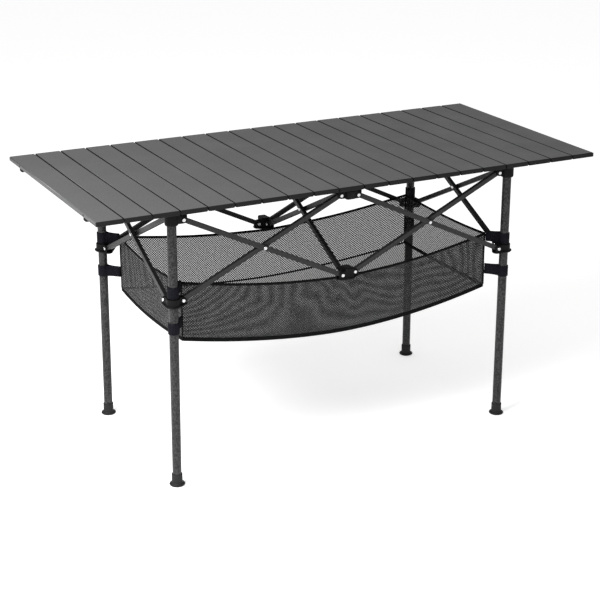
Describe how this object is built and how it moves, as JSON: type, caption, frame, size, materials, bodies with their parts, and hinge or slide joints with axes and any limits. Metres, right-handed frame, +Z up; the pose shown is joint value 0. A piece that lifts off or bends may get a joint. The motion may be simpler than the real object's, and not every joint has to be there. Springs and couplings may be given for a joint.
{
  "type": "camp kitchen table",
  "caption": "Folding camp table with a roll-up slatted top on a scissor-linked four-leg frame, and a mesh basket hung under the top.",
  "frame": {"origin": "centre of the footprint on the ground", "axes": "+X along the length of the top, +Y across it from front to rear, +Z up"},
  "size_m": [1.1978, 0.556, 0.636],
  "materials": {
    "slat": "matte",
    "bar": "satin powder coat",
    "leg": "satin powder coat",
    "moulding": "matte",
    "foot": "matte",
    "mesh": "open net",
    "webbing": "woven",
    "elastic": "braided"
  },
  "bodies": {
    "hub_top_front": {"hub_top_front": "moulding"},
    "hub_top_rear": {"hub_top_rear": "moulding"},
    "hub_bottom_rear": {"hub_bottom_rear": "moulding"},
    "hub_bottom_front": {"hub_bottom_front": "moulding", "mesh_basket": "mesh", "basket_straps": "webbing"},
    "leg_front_left": {"leg_front_left": "leg", "bracket_front_left": "moulding", "foot_front_left": "foot"},
    "collar_front_left": {"collar_front_left": "moulding"},
    "leg_front_right": {"leg_front_right": "leg", "bracket_front_right": "moulding", "foot_front_right": "foot"},
    "collar_front_right": {"collar_front_right": "moulding"},
    "leg_rear_right": {"leg_rear_right": "leg", "bracket_rear_right": "moulding", "foot_rear_right": "foot"},
    "collar_rear_right": {"collar_rear_right": "moulding"},
    "leg_rear_left": {"leg_rear_left": "leg", "bracket_rear_left": "moulding", "foot_rear_left": "foot"},
    "collar_rear_left": {"collar_rear_left": "moulding"},
    "bar_front_left_a": {"bar_front_left_a": "bar"},
    "bar_front_left_b": {"bar_front_left_b": "bar"},
    "bar_front_right_a": {"bar_front_right_a": "bar"},
    "bar_front_right_b": {"bar_front_right_b": "bar"},
    "bar_right_a": {"bar_right_a": "bar"},
    "bar_right_b": {"bar_right_b": "bar"},
    "bar_rear_right_a": {"bar_rear_right_a": "bar"},
    "bar_rear_right_b": {"bar_rear_right_b": "bar"},
    "bar_rear_left_a": {"bar_rear_left_a": "bar"},
    "bar_rear_left_b": {"bar_rear_left_b": "bar"},
    "bar_left_a": {"bar_left_a": "bar"},
    "bar_left_b": {"bar_left_b": "bar"},
    "bar_centre_a": {"bar_centre_a": "bar"},
    "bar_centre_b": {"bar_centre_b": "bar"},
    "slat_01": {"slat_01": "slat", "cord_anchors_left": "moulding", "elastic_cords": "elastic"},
    "slat_02": {"slat_02": "slat"},
    "slat_03": {"slat_03": "slat"},
    "slat_04": {"slat_04": "slat"},
    "slat_05": {"slat_05": "slat"},
    "slat_06": {"slat_06": "slat"},
    "slat_07": {"slat_07": "slat"},
    "slat_08": {"slat_08": "slat"},
    "slat_09": {"slat_09": "slat"},
    "slat_10": {"slat_10": "slat"},
    "slat_11": {"slat_11": "slat"},
    "slat_12": {"slat_12": "slat"},
    "slat_13": {"slat_13": "slat"},
    "slat_14": {"slat_14": "slat"},
    "slat_15": {"slat_15": "slat"},
    "slat_16": {"slat_16": "slat"},
    "slat_17": {"slat_17": "slat"},
    "slat_18": {"slat_18": "slat"},
    "slat_19": {"slat_19": "slat"},
    "slat_20": {"slat_20": "slat", "cord_anchors_right": "moulding"}
  },
  "joints": [
    {"name": "frame_fold", "type": "hinge", "parent": "hub_top_front", "child": "bar_front_left_b", "pos_m": [-0.018, -0.203, 0.597], "axis": [0, -1, 0], "range_deg": [0, 60], "deforming": ["mesh_basket", "basket_straps"]},
    {"name": "front_left_b_bottom", "type": "hinge", "parent": "bar_front_left_b", "child": "collar_front_left", "pos_m": [-0.39, -0.203, 0.419], "axis": [0, 1, 0], "range_deg": [0, 60]},
    {"name": "front_left_cross", "type": "hinge", "parent": "bar_front_left_b", "child": "bar_front_left_a", "pos_m": [-0.204, -0.208, 0.508], "axis": [0, 1, 0], "range_deg": [0, 120]},
    {"name": "front_left_a_top", "type": "hinge", "parent": "bar_front_left_a", "child": "leg_front_left", "pos_m": [-0.39, -0.213, 0.597], "axis": [0, -1, 0], "range_deg": [0, 60]},
    {"name": "front_left_a_bottom", "type": "hinge", "parent": "bar_front_left_a", "child": "hub_bottom_front", "pos_m": [-0.018, -0.213, 0.419], "axis": [0, -1, 0], "range_deg": [0, 60]},
    {"name": "front_right_a_top", "type": "hinge", "parent": "hub_top_front", "child": "bar_front_right_a", "pos_m": [0.018, -0.213, 0.597], "axis": [0, 1, 0], "range_deg": [0, 60]},
    {"name": "front_right_a_bottom", "type": "hinge", "parent": "bar_front_right_a", "child": "collar_front_right", "pos_m": [0.39, -0.213, 0.419], "axis": [0, -1, 0], "range_deg": [0, 60]},
    {"name": "front_right_cross", "type": "hinge", "parent": "bar_front_right_a", "child": "bar_front_right_b", "pos_m": [0.204, -0.208, 0.508], "axis": [0, -1, 0], "range_deg": [0, 120]},
    {"name": "front_right_b_top", "type": "hinge", "parent": "bar_front_right_b", "child": "leg_front_right", "pos_m": [0.39, -0.203, 0.597], "axis": [0, 1, 0], "range_deg": [0, 60]},
    {"name": "centre_b_top", "type": "hinge", "parent": "hub_top_front", "child": "bar_centre_b", "pos_m": [0.005, -0.186, 0.597], "axis": [-1, 0, 0], "range_deg": [0, 60]},
    {"name": "centre_b_bottom", "type": "hinge", "parent": "bar_centre_b", "child": "hub_bottom_rear", "pos_m": [0.005, 0.186, 0.419], "axis": [1, 0, 0], "range_deg": [0, 60]},
    {"name": "centre_cross", "type": "hinge", "parent": "bar_centre_b", "child": "bar_centre_a", "pos_m": [0, 0, 0.508], "axis": [1, 0, 0], "range_deg": [0, 120]},
    {"name": "centre_a_top", "type": "hinge", "parent": "bar_centre_a", "child": "hub_top_rear", "pos_m": [-0.005, 0.186, 0.597], "axis": [-1, 0, 0], "range_deg": [0, 60]},
    {"name": "rear_right_b_top", "type": "hinge", "parent": "hub_top_rear", "child": "bar_rear_right_b", "pos_m": [0.018, 0.203, 0.597], "axis": [0, 1, 0], "range_deg": [0, 60]},
    {"name": "rear_right_b_bottom", "type": "hinge", "parent": "bar_rear_right_b", "child": "collar_rear_right", "pos_m": [0.39, 0.203, 0.419], "axis": [0, -1, 0], "range_deg": [0, 60]},
    {"name": "rear_right_cross", "type": "hinge", "parent": "bar_rear_right_b", "child": "bar_rear_right_a", "pos_m": [0.204, 0.208, 0.508], "axis": [0, -1, 0], "range_deg": [0, 120]},
    {"name": "rear_right_a_top", "type": "hinge", "parent": "bar_rear_right_a", "child": "leg_rear_right", "pos_m": [0.39, 0.213, 0.597], "axis": [0, 1, 0], "range_deg": [0, 60]},
    {"name": "rear_left_a_top", "type": "hinge", "parent": "hub_top_rear", "child": "bar_rear_left_a", "pos_m": [-0.018, 0.213, 0.597], "axis": [0, -1, 0], "range_deg": [0, 60]},
    {"name": "rear_left_a_bottom", "type": "hinge", "parent": "bar_rear_left_a", "child": "collar_rear_left", "pos_m": [-0.39, 0.213, 0.419], "axis": [0, 1, 0], "range_deg": [0, 60]},
    {"name": "rear_left_cross", "type": "hinge", "parent": "bar_rear_left_a", "child": "bar_rear_left_b", "pos_m": [-0.204, 0.208, 0.508], "axis": [0, 1, 0], "range_deg": [0, 120]},
    {"name": "rear_left_b_top", "type": "hinge", "parent": "bar_rear_left_b", "child": "leg_rear_left", "pos_m": [-0.39, 0.203, 0.597], "axis": [0, -1, 0], "range_deg": [0, 60]},
    {"name": "left_b_top", "type": "hinge", "parent": "leg_front_left", "child": "bar_left_b", "pos_m": [-0.407, -0.186, 0.597], "axis": [-1, 0, 0], "range_deg": [0, 60]},
    {"name": "left_cross", "type": "hinge", "parent": "bar_left_b", "child": "bar_left_a", "pos_m": [-0.412, 0, 0.508], "axis": [1, 0, 0], "range_deg": [0, 120]},
    {"name": "right_a_top", "type": "hinge", "parent": "leg_front_right", "child": "bar_right_a", "pos_m": [0.417, -0.186, 0.597], "axis": [-1, 0, 0], "range_deg": [0, 60]},
    {"name": "right_cross", "type": "hinge", "parent": "bar_right_a", "child": "bar_right_b", "pos_m": [0.412, 0, 0.508], "axis": [1, 0, 0], "range_deg": [0, 120]},
    {"name": "top_lift", "type": "slide", "parent": "hub_top_front", "child": "slat_01", "axis": [0, 0, 1], "range_m": [0, 0.3]},
    {"name": "top_roll", "type": "hinge", "parent": "slat_01", "child": "slat_02", "pos_m": [-0.54, 0, 0.636], "axis": [0, -1, 0], "range_deg": [0, 37.2], "deforming": ["elastic_cords"]},
    {"name": "slat_hinge_02", "type": "hinge", "parent": "slat_02", "child": "slat_03", "pos_m": [-0.48, 0, 0.636], "axis": [0, -1, 0], "range_deg": [0, 39]},
    {"name": "slat_hinge_03", "type": "hinge", "parent": "slat_03", "child": "slat_04", "pos_m": [-0.42, 0, 0.636], "axis": [0, -1, 0], "range_deg": [0, 40]},
    {"name": "slat_hinge_04", "type": "hinge", "parent": "slat_04", "child": "slat_05", "pos_m": [-0.36, 0, 0.636], "axis": [0, -1, 0], "range_deg": [0, 41]},
    {"name": "slat_hinge_05", "type": "hinge", "parent": "slat_05", "child": "slat_06", "pos_m": [-0.3, 0, 0.636], "axis": [0, -1, 0], "range_deg": [0, 42]},
    {"name": "slat_hinge_06", "type": "hinge", "parent": "slat_06", "child": "slat_07", "pos_m": [-0.24, 0, 0.636], "axis": [0, -1, 0], "range_deg": [0, 43]},
    {"name": "slat_hinge_07", "type": "hinge", "parent": "slat_07", "child": "slat_08", "pos_m": [-0.18, 0, 0.636], "axis": [0, -1, 0], "range_deg": [0, 44]},
    {"name": "slat_hinge_08", "type": "hinge", "parent": "slat_08", "child": "slat_09", "pos_m": [-0.12, 0, 0.636], "axis": [0, -1, 0], "range_deg": [0, 45]},
    {"name": "slat_hinge_09", "type": "hinge", "parent": "slat_09", "child": "slat_10", "pos_m": [-0.06, 0, 0.636], "axis": [0, -1, 0], "range_deg": [0, 47]},
    {"name": "slat_hinge_10", "type": "hinge", "parent": "slat_10", "child": "slat_11", "pos_m": [0, 0, 0.636], "axis": [0, -1, 0], "range_deg": [0, 48]},
    {"name": "slat_hinge_11", "type": "hinge", "parent": "slat_11", "child": "slat_12", "pos_m": [0.06, 0, 0.636], "axis": [0, -1, 0], "range_deg": [0, 50]},
    {"name": "slat_hinge_12", "type": "hinge", "parent": "slat_12", "child": "slat_13", "pos_m": [0.12, 0, 0.636], "axis": [0, -1, 0], "range_deg": [0, 51]},
    {"name": "slat_hinge_13", "type": "hinge", "parent": "slat_13", "child": "slat_14", "pos_m": [0.18, 0, 0.636], "axis": [0, -1, 0], "range_deg": [0, 53]},
    {"name": "slat_hinge_14", "type": "hinge", "parent": "slat_14", "child": "slat_15", "pos_m": [0.24, 0, 0.636], "axis": [0, -1, 0], "range_deg": [0, 55]},
    {"name": "slat_hinge_15", "type": "hinge", "parent": "slat_15", "child": "slat_16", "pos_m": [0.3, 0, 0.636], "axis": [0, -1, 0], "range_deg": [0, 58]},
    {"name": "slat_hinge_16", "type": "hinge", "parent": "slat_16", "child": "slat_17", "pos_m": [0.36, 0, 0.636], "axis": [0, -1, 0], "range_deg": [0, 61]},
    {"name": "slat_hinge_17", "type": "hinge", "parent": "slat_17", "child": "slat_18", "pos_m": [0.42, 0, 0.636], "axis": [0, -1, 0], "range_deg": [0, 64]},
    {"name": "slat_hinge_18", "type": "hinge", "parent": "slat_18", "child": "slat_19", "pos_m": [0.48, 0, 0.636], "axis": [0, -1, 0], "range_deg": [0, 68]},
    {"name": "slat_hinge_19", "type": "hinge", "parent": "slat_19", "child": "slat_20", "pos_m": [0.54, 0, 0.636], "axis": [0, -1, 0], "range_deg": [0, 72]}
  ],
  "couplings": [
    {"joint": "front_left_b_bottom", "follows": "frame_fold", "ratio": 1},
    {"joint": "front_left_cross", "follows": "frame_fold", "ratio": 2},
    {"joint": "front_left_a_top", "follows": "frame_fold", "ratio": 1},
    {"joint": "front_left_a_bottom", "follows": "frame_fold", "ratio": 1},
    {"joint": "front_right_a_top", "follows": "frame_fold", "ratio": 1},
    {"joint": "front_right_a_bottom", "follows": "frame_fold", "ratio": 1},
    {"joint": "front_right_cross", "follows": "frame_fold", "ratio": 2},
    {"joint": "front_right_b_top", "follows": "frame_fold", "ratio": 1},
    {"joint": "centre_b_top", "follows": "frame_fold", "ratio": 1},
    {"joint": "centre_b_bottom", "follows": "frame_fold", "ratio": 1},
    {"joint": "centre_cross", "follows": "frame_fold", "ratio": 2},
    {"joint": "centre_a_top", "follows": "frame_fold", "ratio": 1},
    {"joint": "rear_right_b_top", "follows": "frame_fold", "ratio": 1},
    {"joint": "rear_right_b_bottom", "follows": "frame_fold", "ratio": 1},
    {"joint": "rear_right_cross", "follows": "frame_fold", "ratio": 2},
    {"joint": "rear_right_a_top", "follows": "frame_fold", "ratio": 1},
    {"joint": "rear_left_a_top", "follows": "frame_fold", "ratio": 1},
    {"joint": "rear_left_a_bottom", "follows": "frame_fold", "ratio": 1},
    {"joint": "rear_left_cross", "follows": "frame_fold", "ratio": 2},
    {"joint": "rear_left_b_top", "follows": "frame_fold", "ratio": 1},
    {"joint": "left_b_top", "follows": "frame_fold", "ratio": 1},
    {"joint": "left_cross", "follows": "frame_fold", "ratio": 2},
    {"joint": "right_a_top", "follows": "frame_fold", "ratio": 1},
    {"joint": "right_cross", "follows": "frame_fold", "ratio": 2},
    {"joint": "slat_hinge_02", "follows": "top_roll", "ratio": 1.0207},
    {"joint": "slat_hinge_03", "follows": "top_roll", "ratio": 1.0428},
    {"joint": "slat_hinge_04", "follows": "top_roll", "ratio": 1.0663},
    {"joint": "slat_hinge_05", "follows": "top_roll", "ratio": 1.0916},
    {"joint": "slat_hinge_06", "follows": "top_roll", "ratio": 1.1187},
    {"joint": "slat_hinge_07", "follows": "top_roll", "ratio": 1.1479},
    {"joint": "slat_hinge_08", "follows": "top_roll", "ratio": 1.1796},
    {"joint": "slat_hinge_09", "follows": "top_roll", "ratio": 1.214},
    {"joint": "slat_hinge_10", "follows": "top_roll", "ratio": 1.2516},
    {"joint": "slat_hinge_11", "follows": "top_roll", "ratio": 1.293},
    {"joint": "slat_hinge_12", "follows": "top_roll", "ratio": 1.3388},
    {"joint": "slat_hinge_13", "follows": "top_roll", "ratio": 1.3898},
    {"joint": "slat_hinge_14", "follows": "top_roll", "ratio": 1.4471},
    {"joint": "slat_hinge_15", "follows": "top_roll", "ratio": 1.5121},
    {"joint": "slat_hinge_16", "follows": "top_roll", "ratio": 1.5868},
    {"joint": "slat_hinge_17", "follows": "top_roll", "ratio": 1.6738},
    {"joint": "slat_hinge_18", "follows": "top_roll", "ratio": 1.7769},
    {"joint": "slat_hinge_19", "follows": "top_roll", "ratio": 1.9018}
  ]
}
